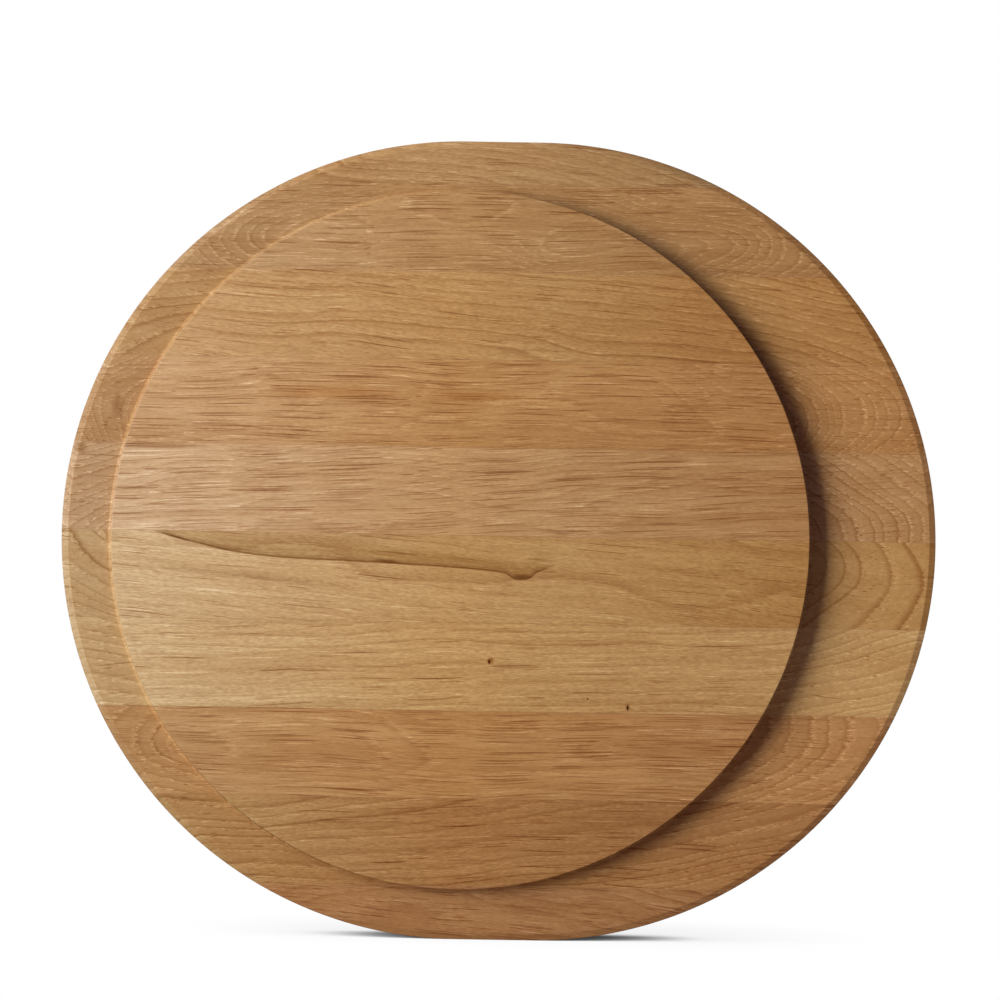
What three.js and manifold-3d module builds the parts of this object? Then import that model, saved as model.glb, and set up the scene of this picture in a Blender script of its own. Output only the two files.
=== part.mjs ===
// Oak cutting board, standing on its lower edge. Ten oak staves are glued edge to edge into a
// panel, which is cut to a long round outline and milled as one blank: a round cutting disc
// stands at the left, and a moat around it slopes down from the rim to the foot of the disc.
// Millimetres. +X runs along the grain, +Z is up and the milled face looks towards -Y. The
// origin is the middle of the lower edge.

import * as THREE from "three";
import { mergeVertices } from "three/addons/utils/BufferGeometryUtils.js";
import Module from "manifold-3d";

// The outline and the blank
const END_RADIUS = 175; // both round ends, and so half the board's height
const FLAT_LENGTH = 33.4; // straight run between the round ends, at the foot and at the crown
const THICKNESS = 25;
const EDGE_CHAMFER = 2.8; // at 45 degrees, round the front and round the back

// The milled face
const RIM_WIDTH = 21.8; // from the disc to the board's edge where the moat is narrowest
const MOAT_SLOPE = THREE.MathUtils.degToRad(10);
const MOAT_COVE = 1.4; // hollow fillet between the moat's floor and the disc's wall
const DISC_EDGE_ROUND = 0.4;

// The glued panel
const STAVE_COUNT = 10;
const FOOT_TRIM = 15.2; // what the outline takes off the lowest stave
const CROWN_TRIM = 19.7; // what the outline takes off the highest stave
const GLUE_LINE = 0.1;

// Fineness of the curves
const END_STEPS = 60; // round each end of the outline
const FLAT_STEPS = 2;
const ROUND_STEPS = 2;
const COVE_STEPS = 3;
const FLOOR_STEPS = 3;

// Colours of the oak, and the tone of each stave from the foot up, used again past the last
const OAK_TONES = { pale: 0xb68e62, honey: 0xb08558, russet: 0xa87850, brown: 0x996a45 };
const STAVE_TONES = [
  "brown", "brown", "russet", "pale", "pale", "pale", "russet", "honey", "honey", "honey",
];
const GLUE_COLOUR = 0x7d5a3a;

const height = 2 * END_RADIUS;
const length = height + FLAT_LENGTH;
const discRadius = END_RADIUS - RIM_WIDTH;
const crestRadius = END_RADIUS - EDGE_CHAMFER;
const panelHeight = FOOT_TRIM + height + CROWN_TRIM;
const staveWidth = (panelHeight - (STAVE_COUNT - 1) * GLUE_LINE) / STAVE_COUNT;

const wasm = await Module();
wasm.setup();

// The board's own frame has its origin on the disc's axis, halfway through the thickness.
// Distance from that axis to an outline whose round ends have the given radius.
function reach(angle, endRadius) {
  const along = Math.cos(angle);
  const across = Math.abs(Math.sin(angle));
  if (along <= 0) {
    return endRadius;
  }
  const toFlat = endRadius / across;
  if (toFlat * along <= FLAT_LENGTH) {
    return toFlat;
  }
  return FLAT_LENGTH * along + Math.sqrt(endRadius ** 2 - (FLAT_LENGTH * across) ** 2);
}

// Depth of the moat's floor below the front: it falls inward from the rim's crest.
function floorDepth(radius, angle) {
  const x = radius * Math.cos(angle);
  const z = radius * Math.sin(angle);
  const fromSpine = Math.hypot(x - THREE.MathUtils.clamp(x, 0, FLAT_LENGTH), z);
  return (crestRadius - fromSpine) * Math.tan(MOAT_SLOPE);
}

// Points of an arc in a section, where x is the radius and y the depth below the front.
function arc(centreX, centreY, radius, from, to, steps) {
  const curve = new THREE.EllipseCurve(centreX, centreY, radius, radius, from, to, from > to);
  return curve.getPoints(steps);
}

// One section through the board, from the edge of the disc's flat top, down its wall, up the
// moat's floor to the rim's crest, round the board's edge and on to the flat back.
function section(angle) {
  const wallDepth = floorDepth(discRadius, angle);
  const fall = (wallDepth - floorDepth(discRadius + MOAT_COVE, angle)) / MOAT_COVE;
  const roomForCove = (wallDepth - DISC_EDGE_ROUND) / (fall + Math.hypot(1, fall));
  const cove = Math.min(MOAT_COVE, roomForCove);
  const coveDepth = wallDepth - cove * (fall + Math.hypot(1, fall));
  const discInset = discRadius - DISC_EDGE_ROUND;
  const edge = arc(discInset, DISC_EDGE_ROUND, DISC_EDGE_ROUND, -Math.PI / 2, 0, ROUND_STEPS);
  const coveEnd = Math.PI / 2 - Math.atan(fall);
  const foot = arc(discRadius + cove, coveDepth, cove, Math.PI, coveEnd, COVE_STEPS);
  const floorStart = foot[foot.length - 1].x;
  const crest = reach(angle, crestRadius);
  const floor = [];
  for (let step = 1; step < FLOOR_STEPS; step += 1) {
    const radius = THREE.MathUtils.lerp(floorStart, crest, step / FLOOR_STEPS);
    floor.push(new THREE.Vector2(radius, floorDepth(radius, angle)));
  }
  const side = reach(angle, END_RADIUS);
  return [
    ...edge,
    ...foot,
    ...floor,
    new THREE.Vector2(crest, 0),
    new THREE.Vector2(side, EDGE_CHAMFER),
    new THREE.Vector2(side, THICKNESS - EDGE_CHAMFER),
    new THREE.Vector2(crest, THICKNESS),
  ];
}

// Directions of the sections, once round the outline from its lower left, anticlockwise.
function sectionAngles() {
  const outline = [];
  for (let step = 0; step < FLAT_STEPS; step += 1) {
    outline.push([(FLAT_LENGTH * step) / FLAT_STEPS, -END_RADIUS]);
  }
  for (let step = 0; step < END_STEPS; step += 1) {
    const turn = Math.PI * (step / END_STEPS - 1 / 2);
    outline.push([FLAT_LENGTH + END_RADIUS * Math.cos(turn), END_RADIUS * Math.sin(turn)]);
  }
  for (let step = 0; step < FLAT_STEPS; step += 1) {
    outline.push([FLAT_LENGTH * (1 - step / FLAT_STEPS), END_RADIUS]);
  }
  for (let step = 0; step < END_STEPS; step += 1) {
    const turn = Math.PI * (step / END_STEPS + 1 / 2);
    outline.push([END_RADIUS * Math.cos(turn), END_RADIUS * Math.sin(turn)]);
  }
  return outline.map(([x, z]) => Math.atan2(z, x));
}

// The milled blank as one closed surface: the sections joined up, with a flat top and back.
function blankGeometry() {
  const angles = sectionAngles();
  const sections = angles.map(section);
  const rows = sections[0].length;
  const points = [];
  sections.forEach((outline, column) => {
    for (const { x: radius, y: depth } of outline) {
      const x = radius * Math.cos(angles[column]);
      const z = radius * Math.sin(angles[column]);
      points.push(new THREE.Vector3(x, depth - THICKNESS / 2, z));
    }
  });
  const frontCentre = points.push(new THREE.Vector3(0, -THICKNESS / 2, 0)) - 1;
  const backCentre = points.push(new THREE.Vector3(0, THICKNESS / 2, 0)) - 1;
  const triangles = [];
  angles.forEach((_, column) => {
    const here = column * rows;
    const next = ((column + 1) % angles.length) * rows;
    triangles.push(frontCentre, here, next);
    for (let row = 0; row < rows - 1; row += 1) {
      triangles.push(here + row, here + row + 1, next + row + 1);
      triangles.push(here + row, next + row + 1, next + row);
    }
    triangles.push(backCentre, next + rows - 1, here + rows - 1);
  });
  const geometry = new THREE.BufferGeometry().setFromPoints(points);
  geometry.setIndex(triangles);
  return geometry;
}

// A box that holds all of the board below a level, for sawing off the lowest piece.
function boxBelow(level) {
  const margin = THICKNESS;
  const low = -END_RADIUS - margin;
  const box = new THREE.BoxGeometry(length + 2 * margin, THICKNESS + 2 * margin, level - low);
  return box.translate(FLAT_LENGTH / 2, 0, (low + level) / 2);
}

function toSolid(geometry) {
  const bare = geometry.clone();
  bare.deleteAttribute("normal");
  bare.deleteAttribute("uv");
  const merged = mergeVertices(bare);
  const vertProperties = merged.attributes.position.array;
  const triVerts = new Uint32Array(merged.index.array);
  return new wasm.Manifold(new wasm.Mesh({ numProp: 3, vertProperties, triVerts }));
}

function toGeometry(solid) {
  const mesh = solid.getMesh();
  const geometry = new THREE.BufferGeometry();
  geometry.setAttribute("position", new THREE.BufferAttribute(mesh.vertProperties, 3));
  geometry.setIndex(new THREE.BufferAttribute(mesh.triVerts, 1));
  geometry.computeVertexNormals();
  return geometry;
}

function oak(tone) {
  return new THREE.MeshStandardMaterial({ color: OAK_TONES[tone], roughness: 0.6, metalness: 0 });
}

function glue() {
  return new THREE.MeshStandardMaterial({ color: GLUE_COLOUR, roughness: 0.4, metalness: 0 });
}

// The pieces of the panel from the foot up, each with the height of its upper edge.
function panelPieces() {
  const pieces = [];
  let top = -FOOT_TRIM;
  for (let number = 1; number <= STAVE_COUNT; number += 1) {
    const digits = String(number).padStart(2, "0");
    const tone = STAVE_TONES[(number - 1) % STAVE_TONES.length];
    top += staveWidth;
    pieces.push({ name: `stave_${digits}`, top, material: oak(tone) });
    if (number < STAVE_COUNT) {
      top += GLUE_LINE;
      pieces.push({ name: `glue_line_${digits}`, top, material: glue() });
    }
  }
  return pieces;
}

// The blank is sawn apart at the glue lines, so that neighbours meet face to face.
const board = new THREE.Group();
board.position.set(-FLAT_LENGTH / 2, 0, END_RADIUS);
let rest = toSolid(blankGeometry());
for (const { name, top, material } of panelPieces()) {
  const below = toSolid(boxBelow(top - END_RADIUS));
  const piece = new THREE.Mesh(toGeometry(rest.intersect(below)), material);
  piece.name = name;
  board.add(piece);
  rest = rest.subtract(below);
}

const part = new THREE.Group();
part.add(board);

export default part;
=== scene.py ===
"""Looks of an oak cutting board: ten glued staves with solid oak figure, milled as one blank.

Metres in the scene, with +X along the grain, +Z up and the milled face towards -Y. The oak's
own figure is worked out in millimetres, the scale at which growth rings and pores are read.
"""

import math
from dataclasses import dataclass

import bmesh
import bpy
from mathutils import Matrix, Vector


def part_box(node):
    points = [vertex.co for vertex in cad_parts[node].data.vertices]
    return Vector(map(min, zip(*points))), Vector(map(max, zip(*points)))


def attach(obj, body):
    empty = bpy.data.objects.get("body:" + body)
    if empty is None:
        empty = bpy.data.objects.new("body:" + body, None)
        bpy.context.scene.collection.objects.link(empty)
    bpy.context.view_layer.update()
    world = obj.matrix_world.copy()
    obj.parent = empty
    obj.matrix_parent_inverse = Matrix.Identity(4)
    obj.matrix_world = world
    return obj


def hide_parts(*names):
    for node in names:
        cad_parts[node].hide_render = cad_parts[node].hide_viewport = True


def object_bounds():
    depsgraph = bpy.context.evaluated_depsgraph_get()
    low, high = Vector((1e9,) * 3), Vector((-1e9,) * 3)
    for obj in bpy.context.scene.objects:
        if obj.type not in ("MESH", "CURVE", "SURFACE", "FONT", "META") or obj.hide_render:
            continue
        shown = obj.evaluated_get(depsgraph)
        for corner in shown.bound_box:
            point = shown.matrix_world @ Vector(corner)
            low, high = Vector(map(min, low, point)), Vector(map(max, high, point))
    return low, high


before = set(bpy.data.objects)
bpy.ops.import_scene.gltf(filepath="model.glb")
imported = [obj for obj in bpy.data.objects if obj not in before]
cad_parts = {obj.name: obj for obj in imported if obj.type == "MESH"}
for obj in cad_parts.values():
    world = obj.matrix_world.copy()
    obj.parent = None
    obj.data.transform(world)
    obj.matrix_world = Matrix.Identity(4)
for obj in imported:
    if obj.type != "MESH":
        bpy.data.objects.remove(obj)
cad_low, cad_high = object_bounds()

MM = 0.001

# The board's sizes: the overall ones come from the frame, the milled face's are repeated here
END_RADIUS = (cad_high.z - cad_low.z) / 2
FLAT_LENGTH = (cad_high.x - cad_low.x) - 2 * END_RADIUS
THICKNESS = cad_high.y - cad_low.y
EDGE_CHAMFER = 2.8 * MM  # its width at the front and back, and its fall at the back
FRONT_BEVEL = 0.37 * MM  # its fall at the front, where it is flatter than in the solids
RIM_WIDTH = 21.8 * MM
MOAT_SLOPE = math.tan(math.radians(10))
MOAT_COVE = 1.4 * MM
DISC_EDGE_ROUND = 0.4 * MM

DISC_RADIUS = END_RADIUS - RIM_WIDTH
CREST_RADIUS = END_RADIUS - EDGE_CHAMFER
DISC_CENTRE = Vector((-FLAT_LENGTH / 2, 0, END_RADIUS))
FRONT = cad_low.y

# Fineness of the surface
END_STEPS = 180
FLAT_STEPS = 8
ROUND_STEPS = 6
COVE_STEPS = 8
FLOOR_STEPS = 8
EASE_STEPS = 4
SHARP_ANGLE = math.radians(40)
CUT_MERGE = 1e-7
HOLD = 0.2 * MM  # ring that keeps the flat faces flat up to their edge
ARRIS = 0.25 * MM  # sanded softness of the sharp corners


def reach(angle, end_radius):
    """Distance from the disc's axis to an outline whose round ends have that radius."""
    along = math.cos(angle)
    across = abs(math.sin(angle))
    if along <= 0:
        return end_radius
    if end_radius * along <= FLAT_LENGTH * across:
        return end_radius / across
    return FLAT_LENGTH * along + math.sqrt(end_radius**2 - (FLAT_LENGTH * across) ** 2)


def floor_depth(radius, angle):
    """Depth of the moat's floor below the front, which falls inward from the rim's crest."""
    x = radius * math.cos(angle)
    z = radius * math.sin(angle)
    from_spine = math.hypot(x - min(max(x, 0), FLAT_LENGTH), z)
    return (CREST_RADIUS - from_spine) * MOAT_SLOPE


def arc(centre, radius, start, end, steps):
    """Points of an arc in a section, where x is the radius and y the depth."""
    turns = [start + (end - start) * step / steps for step in range(steps + 1)]
    return [centre + radius * Vector((math.cos(t), math.sin(t))) for t in turns]


def eased(corners):
    """The corners of an outline, each one softened by a short curve."""
    points = [corners[0]]
    for before, corner, after in zip(corners, corners[1:], corners[2:]):
        back = ARRIS * (before - corner).normalized()
        ahead = ARRIS * (after - corner).normalized()
        points.append(corner + 2 * back)
        for step in range(EASE_STEPS + 1):
            t = step / EASE_STEPS
            points.append(corner + (1 - t) ** 2 * back + t**2 * ahead)
        points.append(corner + 2 * ahead)
    return points + [corners[-1]]


def section(angle):
    """A section from the disc's flat top, down its wall, up the moat, round to the back."""
    wall_depth = floor_depth(DISC_RADIUS, angle)
    fall = (wall_depth - floor_depth(DISC_RADIUS + MOAT_COVE, angle)) / MOAT_COVE
    steep = fall + math.hypot(1, fall)
    cove = min(MOAT_COVE, (wall_depth - DISC_EDGE_ROUND) / steep)
    disc_inset = DISC_RADIUS - DISC_EDGE_ROUND
    edge_centre = Vector((disc_inset, DISC_EDGE_ROUND))
    edge = arc(edge_centre, DISC_EDGE_ROUND, -math.pi / 2, 0, ROUND_STEPS)
    cove_centre = Vector((DISC_RADIUS + cove, wall_depth - cove * steep))
    cove_end = math.pi / 2 - math.atan(fall)
    foot = arc(cove_centre, cove, math.pi, cove_end, COVE_STEPS)
    crest = reach(angle, CREST_RADIUS)
    side = reach(angle, END_RADIUS)
    span = crest - foot[-1].x
    shares = [HOLD / span] + [step / FLOOR_STEPS for step in range(1, FLOOR_STEPS)]
    radii = [foot[-1].x + span * share for share in shares]
    moat = [Vector((radius, floor_depth(radius, angle))) for radius in radii]
    last = crest - 3 * ARRIS
    corners = [
        Vector((last, floor_depth(last, angle))),
        Vector((crest, 0)),
        Vector((side, FRONT_BEVEL)),
        Vector((side, THICKNESS - EDGE_CHAMFER)),
        Vector((crest, THICKNESS)),
        Vector((last, THICKNESS)),
    ]
    return [Vector((disc_inset - HOLD, 0)), *edge, *foot, *moat, *eased(corners)]


def section_angles():
    """Directions of the sections, once round the outline, anticlockwise from its lower left."""
    outline = []
    for step in range(FLAT_STEPS):
        outline.append((FLAT_LENGTH * step / FLAT_STEPS, -END_RADIUS))
    for step in range(END_STEPS):
        turn = math.pi * (step / END_STEPS - 1 / 2)
        x = FLAT_LENGTH + END_RADIUS * math.cos(turn)
        outline.append((x, END_RADIUS * math.sin(turn)))
    for step in range(FLAT_STEPS):
        outline.append((FLAT_LENGTH * (1 - step / FLAT_STEPS), END_RADIUS))
    for step in range(END_STEPS):
        turn = math.pi * (step / END_STEPS + 1 / 2)
        outline.append((END_RADIUS * math.cos(turn), END_RADIUS * math.sin(turn)))
    return [math.atan2(z, x) for x, z in outline]


def blank():
    """The whole milled blank as one closed surface."""
    bm = bmesh.new()
    columns = []
    for angle in section_angles():
        across = Vector((math.cos(angle), 0, math.sin(angle)))
        column = []
        for radius, depth in section(angle):
            place = DISC_CENTRE + radius * across
            place.y = FRONT + depth
            column.append(bm.verts.new(place))
        columns.append(column)
    for here, following in zip(columns, columns[1:] + columns[:1]):
        for row in range(len(here) - 1):
            bm.faces.new((here[row], here[row + 1], following[row + 1], following[row]))
    bm.faces.new([column[0] for column in columns])
    bm.faces.new([column[-1] for column in reversed(columns)])
    return bm


def cut(bm, height, keep_above):
    """Saws the blank level at a height, keeps one side and closes the sawn face."""
    geometry = [*bm.verts, *bm.edges, *bm.faces]
    bmesh.ops.bisect_plane(
        bm,
        geom=geometry,
        dist=CUT_MERGE,
        plane_co=(0, 0, height),
        plane_no=(0, 0, 1),
        clear_inner=keep_above,
        clear_outer=not keep_above,
    )
    rim = [edge for edge in bm.edges if edge.is_boundary]
    bmesh.ops.edgeloop_fill(bm, edges=rim)


def slice_of_blank(whole, node, name):
    """The part of the blank that a node's level limits hold, as an object."""
    low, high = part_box(node)
    bm = whole.copy()
    if low.z > cad_low.z + MM / 100:
        cut(bm, low.z, keep_above=True)
    if high.z < cad_high.z - MM / 100:
        cut(bm, high.z, keep_above=False)
    bmesh.ops.recalc_face_normals(bm, faces=bm.faces)
    mesh = bpy.data.meshes.new(name)
    bm.to_mesh(mesh)
    bm.free()
    mesh.shade_smooth()
    mesh.set_sharp_from_angle(angle=SHARP_ANGLE)
    piece = bpy.data.objects.new(name, mesh)
    bpy.context.scene.collection.objects.link(piece)
    return piece


class Graph:
    """A node tree in the making: most calls add one node and give back its output."""

    def __init__(self, tree):
        self.tree = tree

    def add(self, kind, inputs=None, **options):
        node = self.tree.nodes.new("ShaderNode" + kind)
        for option, setting in options.items():
            setattr(node, option, setting)
        for name, value in (inputs or {}).items():
            self.plug(node.inputs[name], value)
        return node

    def plug(self, socket, value):
        if isinstance(value, bpy.types.NodeSocket):
            self.tree.links.new(value, socket)
        else:
            socket.default_value = value

    def math(self, operation, *values):
        return self.add("Math", dict(enumerate(values)), operation=operation).outputs[0]

    def vector(self, operation, *values):
        return self.add("VectorMath", dict(enumerate(values)), operation=operation).outputs["Vector"]

    def scale(self, vector, factor):
        node = self.add("VectorMath", {0: vector, "Scale": factor}, operation="SCALE")
        return node.outputs["Vector"]

    def length(self, vector):
        return self.add("VectorMath", {0: vector}, operation="LENGTH").outputs["Value"]

    def split(self, vector):
        return self.add("SeparateXYZ", {0: vector}).outputs[:]

    def join(self, x, y, z):
        return self.add("CombineXYZ", {0: x, 1: y, 2: z}).outputs[0]

    def fade(self, value, start, end, low=0.0, high=1.0):
        """Goes smoothly from low, where the value is start, to high, where it is end."""
        sockets = {"Value": value, "From Min": start, "From Max": end, "To Min": low, "To Max": high}
        return self.add("MapRange", sockets, interpolation_type="SMOOTHSTEP").outputs["Result"]

    def ramp(self, value, start, end, low=0.0, high=1.0):
        """The same at an even rate."""
        sockets = {"Value": value, "From Min": start, "From Max": end, "To Min": low, "To Max": high}
        return self.add("MapRange", sockets).outputs["Result"]

    def noise(self, place, detail=1.0):
        sockets = {"Vector": place, "Scale": 1.0, "Detail": detail}
        return self.add("TexNoise", sockets)

    def blend(self, share, plain, other):
        sockets = {"Factor": share, "A": plain, "B": other}
        return self.add("Mix", sockets, data_type="RGBA").outputs["Result"]

    def shade(self, share, colour, factors):
        """The colour, multiplied by the factors where the share is one."""
        sockets = {"Factor": share, "A": colour, "B": (*factors, 1)}
        return self.add("Mix", sockets, data_type="RGBA", blend_type="MULTIPLY").outputs["Result"]


@dataclass
class Mark:
    """A stain, streak or pin knot in the oak, in millimetres from the foot's middle."""

    x: float
    z: float
    half_length: float
    half_height: float
    shade: tuple  # what it multiplies the wood's colour by
    tilt: float = 0.0  # rise to the right
    core: float = 0.2  # share of it that is at full strength
    half_depth: float = 5.0


@dataclass
class Stave:
    """One stave's wood. Lengths are in millimetres."""

    tone: tuple  # its mean colour
    pith_behind: float  # the tree's middle, from the board's mid-thickness
    pith_above: float  # the same, above the stave's middle
    ring: float  # one year's growth
    drift: float = 0.0  # how fast the pith moves back, to the right
    slope: float = 0.0  # rise of the fibres to the right
    rings_show: float = 0.6  # where the fibres are cut across
    flat_rings: float = 0.5  # share of that where they are cut along
    rays: float = 0.4  # share of the rays that show
    pores: float = 0.6  # share of the pores that show
    pale_pores: float = 0.5  # share of those that are filled and pale
    pale_rings: float = 0.6  # how much the pale dots of the early wood show
    left_tone_and_painted_light: tuple = (1.0, 1.0, 1.0)  # what the tone is multiplied by towards that end: partly the wood's own drift, partly painted light, mostly paler and greyer at the left end and darker at the right
    right_tone_and_painted_light: tuple = (1.0, 1.0, 1.0)
    marks: tuple = ()
    seam: tuple = ()  # points of a dark seam, as x and z


RED_SMEAR = (0.9, 0.8, 0.69)
DARK_SMEAR = (0.66, 0.55, 0.45)
GREY_SMEAR = (0.9, 0.88, 0.88)
SEAM_DAB = (0.6, 0.48, 0.36)
KNOT = (0.12, 0.07, 0.06)
RED_KNOT = (0.3, 0.11, 0.1)
KNOT_RING = (0.75, 0.62, 0.45)

STAVES = {
    "stave_10": Stave(
        (0.392, 0.228, 0.09), 70, -30, 2.2, 0.08, -0.06, 0.9, 0.6, 0.3, 0.7, 0.6, 0.8,
        right_tone_and_painted_light=(0.45, 0.45, 0.45),
    ),
    "stave_09": Stave(
        (0.384, 0.214, 0.08), 68, 4.7, 0.62, 0.004, 0.0, 0.5, 0.4, 0.65, 0.8, 0.7, 1.0,
        left_tone_and_painted_light=(0.91, 1.05, 1.45), right_tone_and_painted_light=(0.84, 0.64, 0.45),
    ),
    "stave_08": Stave(
        (0.416, 0.231, 0.08), 78, -43, 2.6, 0.0, -0.08, 0.9, 0.9, 0.15, 0.6, 0.5, 0.6,
        left_tone_and_painted_light=(0.9, 1.01, 1.37), right_tone_and_painted_light=(0.93, 0.69, 0.45),
    ),
    "stave_07": Stave(
        (0.413, 0.217, 0.074), 73, 0, 0.85, 0.006, 0.0, 0.6, 0.4, 0.75, 0.8, 0.5, 0.9,
        left_tone_and_painted_light=(0.89, 1.05, 1.52), right_tone_and_painted_light=(1.11, 1.0, 0.92),
        marks=(
            Mark(-76, 239, 37, 4.5, RED_SMEAR),
            Mark(-10, 238, 26, 3, RED_SMEAR),
            Mark(-168, 231, 4, 8, DARK_SMEAR),
        ),
    ),
    "stave_06": Stave(
        (0.448, 0.257, 0.104), 78, -22, 1.15, 0.0, 0.05, 0.8, 0.6, 0.75, 0.6, 0.6, 0.7,
        left_tone_and_painted_light=(0.97, 1.17, 1.63), right_tone_and_painted_light=(1.02, 0.87, 0.71),
        marks=(
            Mark(-150, 214.5, 26, 2, DARK_SMEAR),
            Mark(-184, 213, 4, 4, DARK_SMEAR),
        ),
    ),
    "stave_05": Stave(
        (0.467, 0.274, 0.1), 68, 14, 2.2, 0.0, -0.08, 1.0, 0.5, 0.1, 0.5, 0.5, 0.2,
        left_tone_and_painted_light=(0.93, 1.13, 1.64), right_tone_and_painted_light=(0.97, 0.8, 0.55),
        marks=(
            Mark(-175, 174, 6, 0.9, DARK_SMEAR, -0.8, 0.4),
            Mark(-141, 174.4, 9, 0.9, SEAM_DAB, -0.3),
            Mark(-49, 165.3, 9, 1.2, SEAM_DAB, -0.06),
            Mark(10.3, 159.6, 5.5, 1.6, SEAM_DAB),
            Mark(-110, 158, 60, 2.4, GREY_SMEAR, -0.09),
        ),
        seam=(
            (-154.5, 178), (-135, 172.6), (-102, 166.7), (-59, 164.8), (-26, 163.3), (2.6, 160.9),
            (6, 159), (10.3, 158.1), (14, 158.9), (16, 160.8), (22, 163.4), (28, 166),
        ),
    ),
    "stave_04": Stave(
        (0.473, 0.276, 0.098), 78, 52, 2.7, 0.0, 0.03, 0.65, 0.9, 0.08, 0.4, 0.6, 0.6,
        left_tone_and_painted_light=(0.94, 1.16, 1.7), right_tone_and_painted_light=(1.22, 1.22, 1.24),
        marks=(
            Mark(-2.7, 122.4, 2.2, 2.0, KNOT_RING, 0, 0.5),
            Mark(-3.2, 122.0, 0.8, 1.3, RED_KNOT, 0, 0.6),
            Mark(-2.2, 122.9, 0.5, 1.0, KNOT_RING, 0, 0.5),
            Mark(40.2, 106.4, 0.5, 0.5, KNOT, 0, 0.5),
            Mark(57.8, 102.8, 1.6, 2.0, KNOT_RING, 0, 0.3),
            Mark(57.8, 102.8, 0.6, 1.5, KNOT, 0, 0.5),
        ),
    ),
    "stave_03": Stave(
        (0.439, 0.226, 0.075), 68, 4, 1.5, 0.02, 0.0, 0.8, 0.4, 0.9, 0.8, 0.6, 0.8,
        left_tone_and_painted_light=(0.79, 0.93, 1.21), right_tone_and_painted_light=(1.05, 0.97, 1.0),
    ),
    "stave_02": Stave(
        (0.375, 0.183, 0.058), 78, 50, 2.6, 0.04, 0.04, 1.0, 0.9, 0.15, 0.6, 0.5, 0.9,
        left_tone_and_painted_light=(0.98, 1.35, 1.7), right_tone_and_painted_light=(0.86, 0.78, 0.84),
    ),
    "stave_01": Stave((0.353, 0.172, 0.061), 78, -30, 2.4, 0.0, -0.08, 0.9, 0.9, 0.5, 0.6, 0.4, 0.6),
}

# The oak's grain, in millimetres along the fibres and across them
WAVE_LENGTHS = (90, 45, 45)
WAVE = 8.0
BROAD_STREAK = (170, 8, 8)
STREAK = (90, 1.7, 1.7)
FIBRE = (16, 0.42, 0.42)
SPECKLE = (2.6, 0.46, 0.46)
DOT = (2.0, 0.42, 0.42)
PORE_CELL = (30, 0.55, 0.55)
RAY_CELL = (34, 8, 0.44)  # along the fibres, from the pith outward, and round it
RAY_RADIUS = 75.0  # where the distance round the pith is true
END_START, END_REACH = 20.0, 185.0  # from the middle, where the ends' tones and painted light begin and are full
MOAT_END_SHARE = 0.5  # how much of those tones and painted light the moat keeps
BEVEL_END_SHARE = 0.85  # the same for the bevel outside it

# How much each kind of grain lightens and darkens: paler grain is greyer and darker grain redder
STREAK_LEVEL = 0.1
FIBRE_LEVEL = 0.09
RAY_FIBRE_LEVEL = 0.04  # more of it where rays show
SPECKLE_LEVEL = 0.17
RAY_SPECKLE_LEVEL = -0.1  # less of it where rays show
GRAIN_HUE = (1.0, 1.35, 1.65)
NOISE_RANGE = (0.25, 0.75)  # values of a noise that count as its darkest and its palest
SLANT_LEVEL = 0.65  # how much of it shows where the fibres are cut at a slant
SLANT_RAYS = 0.6  # the same for the rays

BROAD_EDGE = (0.3, 0.7)  # values of the broad streaks' noise between their two shades
PALE_STREAK_SHADE = (1.1, 1.12, 1.15, 1)
DEEP_STREAK_SHADE = (1.0, 0.96, 0.92, 1)
LATE_SHADE = (0.66, 0.52, 0.4)
EARLY_SHADE = (1.28, 1.36, 1.5)
DOT_EDGE = (0.42, 0.6)  # values of the dots' noise between the wood and a dot
FLAT_DOTS = 0.5  # how much of the early wood's dots shows where the fibres are cut along
LATE_RISE, LATE_FALL = (0.7, 0.95), (0.96, 1.0)  # parts of a year, for the late wood
EARLY_RISE, EARLY_FALL = (0.0, 0.06), (0.16, 0.34)  # and for the early wood
RING_WANDER, RING_WANDER_RATE = 1.6, 0.3  # how far ring widths wander, in years, and how fast
WEAKEST_YEAR = 0.35  # strength of the faintest late wood
RING_RAG = (0.5, 0.5)  # how far streaks and fibres put a ring out of its place, in years
PLAIN_RAG = 0.3  # share of that in wood without rays
RAY_SHARE = 0.62  # share of the cells with a ray, where a stave shows them all
RAY_WIDTH = 0.45
RAY_STRENGTHS = (0.4, 1.0)
RAY_SHADE = (0.5, 0.32, 0.22)
PORE_WIDTH = 0.42
LATE_PORES = 0.2  # share of the pores that is left outside the early wood
DASH_WIDTHS = (0.6, 1.2)  # thinnest and thickest dash, as shares of its kind's width
DASH_EDGE = 0.75  # where a dash begins to fade
PORE_SHADE = (0.66, 0.52, 0.42)
PALE_PORE_SHADE = (1.25, 1.38, 1.6)
END_GRAIN_SHADE = (0.54, 0.575, 0.65)
SLANT_LEAN = (0.02, 0.12)  # lean towards the fibres at which a cut is a slant
CROSS_LEAN = (0.1, 0.45)  # and at which it is across them
BEVEL_LEAN = (0.03, 0.13)  # and at which the bevel shows some end grain
WALL_FADE = 2.0
WALL_SHARE = 0.72  # how much of that the disc's own wall takes
BEVEL_SHARE = 0.36  # how much of it the bevel takes
SEAM_SHADE = (0.5, 0.37, 0.25)
SEAM_SIDE_SHADE = (0.8, 0.75, 0.64)
SEAM_DEPTH = (2, 5)  # how deep it goes
SEAM_START, SEAM_END = 10, 12  # how far its ends fade
FIBRE_RELIEF = 0.25
BUMP_STRENGTH = 0.3
BUMP_HEIGHT = 0.08 * MM
ROUGHNESS = (0.6, 0.7)
END_GRAIN_ROUGHNESS = 0.28  # what cut fibres add
SPECULAR_LEVEL = 0.08
GLUE_SHADES = (0.3, 0.15, 0.06, 1), (0.2, 0.095, 0.038, 1)
GLUE_BLOTCH = 6 * MM
GLUE_ROUGHNESS = 0.45


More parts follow.
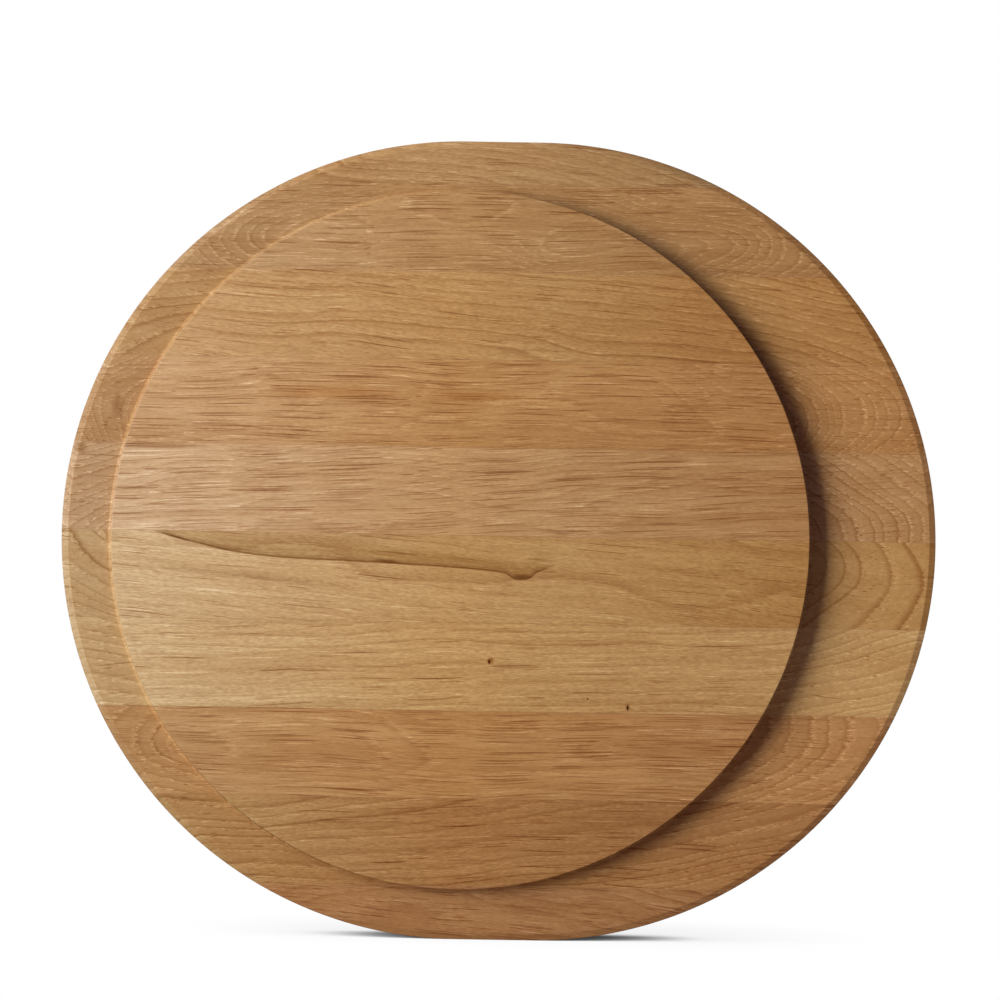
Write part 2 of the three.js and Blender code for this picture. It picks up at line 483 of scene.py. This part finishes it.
def grain_place(graph, stave, middle, seed):
    """Along the grain, through the board and across the stave, with the fibres' slow waves."""
    metres = graph.add("TexCoord").outputs["Object"]
    place = graph.scale(metres, 1 / MM)
    per_wave = [1 / length for length in WAVE_LENGTHS]
    waves = graph.vector("MULTIPLY_ADD", place, per_wave, (seed, 3 * seed, 0))
    sway = graph.vector("SUBTRACT", graph.noise(waves).outputs["Color"], (0.5, 0.5, 0.5))
    sway = graph.scale(sway, WAVE)
    x, y, z = graph.split(place)
    _, sway_through, sway_across = graph.split(sway)
    through = graph.math("ADD", y, sway_through)
    rise = graph.math("SUBTRACT", graph.math("ADD", z, sway_across), middle)
    across = graph.math("SUBTRACT", rise, graph.math("MULTIPLY", x, stave.slope))
    return place, graph.join(x, through, across)


def stretched(graph, place, lengths, seed):
    shift = (1.7 * seed, 2.3 * seed, 3.1 * seed)
    return graph.vector("MULTIPLY_ADD", place, [1 / length for length in lengths], shift)


def pith_place(graph, stave, grain):
    """Along the fibres, out from the pith and round it, for a pith that leans back."""
    x, through, across = graph.split(grain)
    pith_behind = graph.math("MULTIPLY_ADD", x, stave.drift, stave.pith_behind)
    before = graph.math("SUBTRACT", pith_behind, through)
    beside = graph.math("SUBTRACT", across, stave.pith_above)
    radius = graph.length(graph.join(0, before, beside))
    turn = graph.math("ARCTAN2", beside, before)
    return x, radius, graph.math("MULTIPLY", turn, RAY_RADIUS)


def growth_rings(graph, stave, radius, streak, fibre, seed):
    """How much late wood, which is dark, and how much pale, porous early wood there is."""
    years = graph.math("DIVIDE", radius, stave.ring)
    slow_years = graph.math("MULTIPLY_ADD", years, RING_WANDER_RATE, seed)
    slow = graph.add("TexNoise", {"W": slow_years, "Scale": 1.0, "Detail": 1.0}, noise_dimensions="1D")
    years = graph.math("MULTIPLY_ADD", slow.outputs[0], RING_WANDER, years)
    rag = PLAIN_RAG + (1 - PLAIN_RAG) * stave.rays
    years = graph.math("MULTIPLY_ADD", streak, rag * RING_RAG[0], years)
    years = graph.math("MULTIPLY_ADD", fibre, rag * RING_RAG[1], years)
    season = graph.math("FRACT", years)
    year = graph.add("TexWhiteNoise", {"W": graph.math("FLOOR", years)}, noise_dimensions="1D")
    strength = graph.ramp(year.outputs["Value"], 0, 1, WEAKEST_YEAR, 1)
    late_rise, late_fall = graph.fade(season, *LATE_RISE), graph.fade(season, *LATE_FALL, 1.0, 0.0)
    early_rise, early_fall = graph.fade(season, *EARLY_RISE), graph.fade(season, *EARLY_FALL, 1.0, 0.0)
    late = graph.math("MULTIPLY", late_rise, late_fall)
    early = graph.math("MULTIPLY", early_rise, early_fall)
    return graph.math("MULTIPLY", late, strength), early


def dashes(graph, place, cell, seed, share, size):
    """Long thin dashes in a share of the cells: how far inside one, and a number for each."""
    stretched_place = stretched(graph, place, cell, seed)
    sockets = {"Vector": stretched_place, "Scale": 1.0}
    cells = graph.add("TexVoronoi", sockets, voronoi_dimensions="3D", feature="F1")
    chance, kind, width = graph.split(cells.outputs["Color"])
    shows = graph.math("LESS_THAN", chance, share)
    reach = graph.ramp(width, 0, 1, *(share * size for share in DASH_WIDTHS))
    near = graph.math("DIVIDE", cells.outputs["Distance"], reach)
    return graph.math("MULTIPLY", shows, graph.fade(near, DASH_EDGE, 1.0, 1.0, 0.0)), kind


def marked(graph, colour, place, marks):
    """The colour with a stave's own marks."""
    for mark in marks:
        from_mark = graph.vector("SUBTRACT", place, (mark.x, FRONT / MM, mark.z))
        x, y, z = graph.split(from_mark)
        level = graph.math("MULTIPLY_ADD", x, -mark.tilt, z)
        reach = (1 / mark.half_length, 1 / mark.half_depth, 1 / mark.half_height)
        distance = graph.length(graph.vector("MULTIPLY", graph.join(x, y, level), reach))
        colour = graph.shade(graph.fade(distance, mark.core, 1.0, 1.0, 0.0), colour, mark.shade)
    return colour


def seamed(graph, colour, place, points):
    """The colour with a dark seam between two years that grew unlike, the wood above it darker."""
    if not points:
        return colour
    left, right = points[0][0], points[-1][0]
    bottom, top = min(z for x, z in points), max(z for x, z in points)
    x, y, z = graph.split(place)
    curve = graph.add("FloatCurve", {"Value": graph.ramp(x, left, right)})
    spots = curve.mapping.curves[0].points
    for number, (along, height) in enumerate(points):
        spot = ((along - left) / (right - left), (height - bottom) / (top - bottom))
        if number < 2:
            spots[number].location = spot
        else:
            spots.new(*spot)
    curve.mapping.update()
    height = graph.ramp(curve.outputs[0], 0, 1, bottom, top)
    above = graph.math("SUBTRACT", z, height)
    front = graph.fade(y, *(FRONT / MM + depth for depth in SEAM_DEPTH), 1.0, 0.0)
    starts = graph.fade(x, left, left + SEAM_START)
    ends = graph.fade(x, right - SEAM_END, right, 1.0, 0.0)
    there = graph.math("MULTIPLY", front, graph.math("MULTIPLY", starts, ends))
    side = graph.math("MULTIPLY", graph.fade(above, 0.0, 0.4), graph.fade(above, 4.0, 11.0, 1.0, 0.3))
    colour = graph.shade(graph.math("MULTIPLY", side, there), colour, SEAM_SIDE_SHADE)
    halo = graph.fade(above, 0.3, 3.0, 0.5, 0.0)
    edge = graph.fade(above, -0.35, 0.1)
    core = graph.fade(above, 0.4, 1.0, 1.0, 0.0)
    line = graph.math("MULTIPLY", edge, graph.math("MAXIMUM", core, halo))
    return graph.shade(graph.math("MULTIPLY", line, there), colour, SEAM_SHADE)


def from_disc_axis(graph, place):
    """Distance from the disc's axis, in millimetres."""
    x, y, z = graph.split(graph.vector("SUBTRACT", place, DISC_CENTRE / MM))
    return graph.length(graph.join(x, 0, z))


def past_crest(graph, place):
    """One outside the crest of the rim, on the bevel and the board's edge."""
    x, y, z = graph.split(place)
    half_spine = FLAT_LENGTH / 2 / MM
    beyond = graph.math("MAXIMUM", graph.math("SUBTRACT", graph.math("ABSOLUTE", x), half_spine), 0)
    level = graph.math("SUBTRACT", z, END_RADIUS / MM)
    from_spine = graph.length(graph.join(beyond, 0, level))
    return graph.fade(from_spine, CREST_RADIUS / MM - 0.2, CREST_RADIUS / MM + 0.2)


def end_grain(graph, from_axis, bevelled):
    """Where the surface cuts the fibres at a slant, and where it cuts across them."""
    lean = graph.math("ABSOLUTE", graph.split(graph.add("NewGeometry").outputs["Normal"])[0])
    past_wall = DISC_RADIUS / MM + WALL_FADE
    share = graph.fade(from_axis, past_wall, past_wall + WALL_FADE, WALL_SHARE, 1.0)
    cross_cut = graph.math("MULTIPLY", graph.fade(lean, *CROSS_LEAN), share)
    bevel = graph.math("MULTIPLY", bevelled, graph.fade(lean, *BEVEL_LEAN, 0.0, BEVEL_SHARE))
    return graph.fade(lean, *SLANT_LEAN), graph.math("MAXIMUM", cross_cut, bevel)


def oak(stave, node, seed):
    """Solid oak: growth rings about the stave's own pith, rays, pores and streaks."""
    low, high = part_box(node)
    material = bpy.data.materials.new("oak_" + node)
    material.use_nodes = True
    graph = Graph(material.node_tree)
    place, grain = grain_place(graph, stave, (low.z + high.z) / 2 / MM, seed)
    x, radius, round_pith = pith_place(graph, stave, grain)
    broad = graph.noise(stretched(graph, grain, BROAD_STREAK, seed), 2.0).outputs[0]
    streak = graph.noise(stretched(graph, grain, STREAK, seed), 3.0).outputs[0]
    fibre = graph.noise(stretched(graph, grain, FIBRE, seed), 1.0).outputs[0]
    speckle = graph.noise(stretched(graph, grain, SPECKLE, seed), 1.0).outputs[0]
    dot = graph.noise(stretched(graph, grain, DOT, seed), 0.0).outputs[0]
    late, early = growth_rings(graph, stave, radius, streak, fibre, seed)
    from_axis = from_disc_axis(graph, place)
    bevelled = past_crest(graph, place)
    slant, cross_cut = end_grain(graph, from_axis, bevelled)
    ring_share = graph.ramp(slant, 0, 1, stave.flat_rings * stave.rings_show, stave.rings_show)

    shades = graph.blend(graph.fade(broad, *BROAD_EDGE), PALE_STREAK_SHADE, DEEP_STREAK_SHADE)
    colour = graph.vector("MULTIPLY", shades, stave.tone)
    # Each end's tone, partly the wood's own drift and partly painted light: mostly paler and greyer
    # towards the lit left end, darker towards the right; the moat and bevel keep less of it.
    wall = DISC_RADIUS / MM
    kept = graph.fade(from_axis, wall - 0.3, wall + 0.3, 1.0, MOAT_END_SHARE)
    kept = graph.math("MAXIMUM", kept, graph.math("MULTIPLY", bevelled, BEVEL_END_SHARE))
    for start, end, shade in (
        (-END_START, -END_REACH, stave.left_tone_and_painted_light),
        (END_START, END_REACH, stave.right_tone_and_painted_light),
    ):
        share = graph.math("MULTIPLY", graph.ramp(x, start, end), kept)
        colour = graph.shade(share, colour, shade)
    level = graph.ramp(streak, *NOISE_RANGE, -STREAK_LEVEL, STREAK_LEVEL)
    for pattern, size in (
        (fibre, FIBRE_LEVEL + RAY_FIBRE_LEVEL * stave.rays),
        (speckle, SPECKLE_LEVEL + RAY_SPECKLE_LEVEL * stave.rays),
    ):
        level = graph.math("ADD", level, graph.ramp(pattern, *NOISE_RANGE, -size, size))
    level = graph.math("MULTIPLY", level, graph.ramp(slant, 0, 1, 1.0, SLANT_LEVEL))
    tint = graph.vector("MULTIPLY_ADD", level, GRAIN_HUE, (1, 1, 1))
    colour = graph.vector("MULTIPLY", colour, tint)
    colour = graph.shade(graph.math("MULTIPLY", late, ring_share), colour, LATE_SHADE)
    dot_share = graph.ramp(slant, 0, 1, FLAT_DOTS * stave.pale_rings, stave.pale_rings)
    dots = graph.math("MULTIPLY", early, graph.fade(dot, *DOT_EDGE))
    colour = graph.shade(graph.math("MULTIPLY", dots, dot_share), colour, EARLY_SHADE)

    porous = graph.ramp(early, 0, 1, LATE_PORES * stave.pores, stave.pores)
    pores, kind = dashes(graph, grain, PORE_CELL, seed, porous, PORE_WIDTH)
    pale = graph.math("MULTIPLY", pores, graph.math("LESS_THAN", kind, stave.pale_pores))
    open_pores = graph.math("SUBTRACT", pores, pale)
    colour = graph.shade(pale, colour, PALE_PORE_SHADE)
    colour = graph.shade(open_pores, colour, PORE_SHADE)
    ray_place = graph.join(x, radius, round_pith)
    rays, kind = dashes(graph, ray_place, RAY_CELL, seed, RAY_SHARE * stave.rays, RAY_WIDTH)
    rays = graph.math("MULTIPLY", rays, graph.ramp(kind, 0, 1, *RAY_STRENGTHS))
    rays = graph.math("MULTIPLY", rays, graph.ramp(slant, 0, 1, 1.0, SLANT_RAYS))
    colour = graph.shade(rays, colour, RAY_SHADE)

    colour = seamed(graph, colour, place, stave.seam)
    colour = marked(graph, colour, place, stave.marks)
    colour = graph.shade(cross_cut, colour, END_GRAIN_SHADE)
    pits = graph.math("MULTIPLY", open_pores, -1.0)
    height = graph.math("MULTIPLY_ADD", fibre, FIBRE_RELIEF, pits)
    relief = {"Strength": BUMP_STRENGTH, "Distance": BUMP_HEIGHT, "Height": height}
    bump = graph.add("Bump", relief).outputs[0]
    shader = material.node_tree.nodes["Principled BSDF"]
    graph.plug(shader.inputs["Base Color"], colour)
    graph.plug(shader.inputs["Normal"], bump)
    smooth = graph.ramp(streak, 0.2, 0.8, *ROUGHNESS)
    roughness = graph.math("MULTIPLY_ADD", cross_cut, END_GRAIN_ROUGHNESS, smooth)
    graph.plug(shader.inputs["Roughness"], roughness)
    shader.inputs["Specular IOR Level"].default_value = SPECULAR_LEVEL
    return material


def set_glue():
    """Glue, sanded flush with the oak: darker than the wood, and a little blotchy."""
    material = bpy.data.materials.new("set_glue")
    material.use_nodes = True
    graph = Graph(material.node_tree)
    metres = graph.add("TexCoord").outputs["Object"]
    blotches = graph.noise(graph.scale(metres, 1 / GLUE_BLOTCH), 2.0).outputs[0]
    colour = graph.blend(graph.fade(blotches, 0.35, 0.65), *GLUE_SHADES)
    shader = material.node_tree.nodes["Principled BSDF"]
    graph.plug(shader.inputs["Base Color"], colour)
    shader.inputs["Roughness"].default_value = GLUE_ROUGHNESS
    return material


def make_board():
    """Every stave and glue line as a fine piece that stands for its node."""
    whole = blank()
    glue = set_glue()
    for node in sorted(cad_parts):
        piece = slice_of_blank(whole, node, "milled_" + node)
        if node in STAVES:
            piece.data.materials.append(oak(STAVES[node], node, int(node[-2:])))
        else:
            piece.data.materials.append(glue)
        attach(piece, "root")
        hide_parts(node)
    whole.free()


# The camera: square on to the face, with the slight roll of the photograph
IMAGE_SIDE = 1000
END_RADIUS_PIXELS = 399.0
BOARD_CENTRE_PIXEL = (498.6, 540.9)
ROLL = math.radians(0.95)
CAMERA_DISTANCE = 1.5
SENSOR = 36.0


def make_camera():
    metres_per_pixel = END_RADIUS / END_RADIUS_PIXELS
    right = BOARD_CENTRE_PIXEL[0] - IMAGE_SIDE / 2
    down = BOARD_CENTRE_PIXEL[1] - IMAGE_SIDE / 2
    level_right = right * math.cos(ROLL) + down * math.sin(ROLL)
    level_down = down * math.cos(ROLL) - right * math.sin(ROLL)
    data = bpy.data.cameras.new("camera")
    data.sensor_width = SENSOR
    data.lens = SENSOR * CAMERA_DISTANCE / (IMAGE_SIDE * metres_per_pixel)
    camera = bpy.data.objects.new("camera", data)
    bpy.context.scene.collection.objects.link(camera)
    camera.location = (
        -level_right * metres_per_pixel,
        FRONT + FRONT_BEVEL - CAMERA_DISTANCE,
        END_RADIUS + level_down * metres_per_pixel,
    )
    camera.rotation_euler = (math.pi / 2, -ROLL, 0)
    bpy.context.scene.camera = camera


# The studio: a large soft light at the left, a weak warm card at the right and a white backdrop.
# The camera's side of the room is dark, but for a faint blue fill that cools the shadows.
KEY_PLACE = (-0.7, -0.35, 0.565)
KEY_TARGET = (0.14, 0.19, 0.54)
KEY_SIZE = (0.7, 1.08)
KEY_POWER = 17.5
CARD_PLACE = (0.75, -0.05, 0.22)
CARD_TARGET = (0.19, -0.01, 0.2)
CARD_SIZE = (0.08, 0.42)
CARD_POWER = 1.2
CARD_COLOUR = (1.0, 0.83, 0.58)
FLOOR_LIGHT_LEAN = (-0.5, -0.5, 0)  # how far the floor's light leans from straight above
CONTACT_SHADOW, CONTACT_RANGE = 0.025, (0.05, 0.6)
SOFT_SHADOW, SOFT_RANGE, SOFT_DARKEST = 0.08, (0.3, 0.85), 0.82
SHADOW_SAMPLES = 16
FLOOR_SIDE = 4
FLOOR_COLOUR = (0.32, 0.26, 0.26, 1)
BACKDROP_EDGE = (-0.05, 0.25)  # how far back a direction points where the white backdrop begins
CAMERA_SIDE_COLOUR = (0.0, 0.008, 0.12, 1)


def area_light(name, place, target, size, power, colour=(1, 1, 1)):
    data = bpy.data.lights.new(name, "AREA")
    data.shape = "RECTANGLE"
    data.size, data.size_y = size
    data.energy = power
    data.color = colour
    light = bpy.data.objects.new(name, data)
    bpy.context.scene.collection.objects.link(light)
    light.location = place
    light.rotation_euler = (Vector(target) - Vector(place)).to_track_quat("-Z", "Y").to_euler()


def shows_white(graph):
    """One for what the camera, mirrors and glass see, which show the backdrop as white."""
    path = graph.add("LightPath").outputs
    mirrors = graph.math("MAXIMUM", path["Is Glossy Ray"], path["Is Transmission Ray"])
    return graph.math("MAXIMUM", path["Is Camera Ray"], mirrors)


def make_light():
    area_light("key", KEY_PLACE, KEY_TARGET, KEY_SIZE, KEY_POWER)
    area_light("card", CARD_PLACE, CARD_TARGET, CARD_SIZE, CARD_POWER, CARD_COLOUR)
    world = bpy.data.worlds.new("studio")
    bpy.context.scene.world = world
    world.use_nodes = True
    graph = Graph(world.node_tree)
    backwards = graph.split(graph.add("TexCoord").outputs["Generated"])[1]
    behind = graph.fade(backwards, *BACKDROP_EDGE)
    white = graph.math("MAXIMUM", shows_white(graph), behind)
    colour = graph.blend(white, CAMERA_SIDE_COLOUR, (1, 1, 1, 1))
    background = world.node_tree.nodes["Background"]
    graph.plug(background.inputs["Color"], colour)
    background.inputs["Strength"].default_value = 1


def make_floor():
    """A pale floor, white to the camera, with the shadow that gathers under the board."""
    mesh = bpy.data.meshes.new("floor")
    side = FLOOR_SIDE
    corners = [(-side, -side, 0), (side, -side, 0), (side, side, 0), (-side, side, 0)]
    mesh.from_pydata(corners, [], [(0, 1, 2, 3)])
    floor = bpy.data.objects.new("floor", mesh)
    bpy.context.scene.collection.objects.link(floor)
    material = bpy.data.materials.new("floor")
    material.use_nodes = True
    tree = material.node_tree
    graph = Graph(tree)
    shader = tree.nodes["Principled BSDF"]
    shader.inputs["Base Color"].default_value = FLOOR_COLOUR
    shader.inputs["Roughness"].default_value = 1
    upward = graph.add("NewGeometry").outputs["Normal"]
    lit_from = graph.vector("NORMALIZE", graph.vector("ADD", upward, FLOOR_LIGHT_LEAN))
    near, far = (
        graph.add(
            "AmbientOcclusion", {"Distance": distance, "Normal": lit_from}, samples=SHADOW_SAMPLES
        ).outputs["AO"]
        for distance in (CONTACT_SHADOW, SOFT_SHADOW)
    )
    contact = graph.fade(near, *CONTACT_RANGE)
    shade = graph.math("MULTIPLY", contact, graph.ramp(far, *SOFT_RANGE, SOFT_DARKEST, 1.0))
    glow = graph.add("Emission", {"Strength": shade}).outputs[0]
    white = shows_white(graph)
    mixed = graph.add("MixShader", {0: white, 1: shader.outputs[0], 2: glow}).outputs[0]
    graph.plug(tree.nodes["Material Output"].inputs["Surface"], mixed)
    mesh.materials.append(material)


bpy.context.scene.view_settings.view_transform = "Standard"
make_camera()
make_light()
make_floor()
make_board()
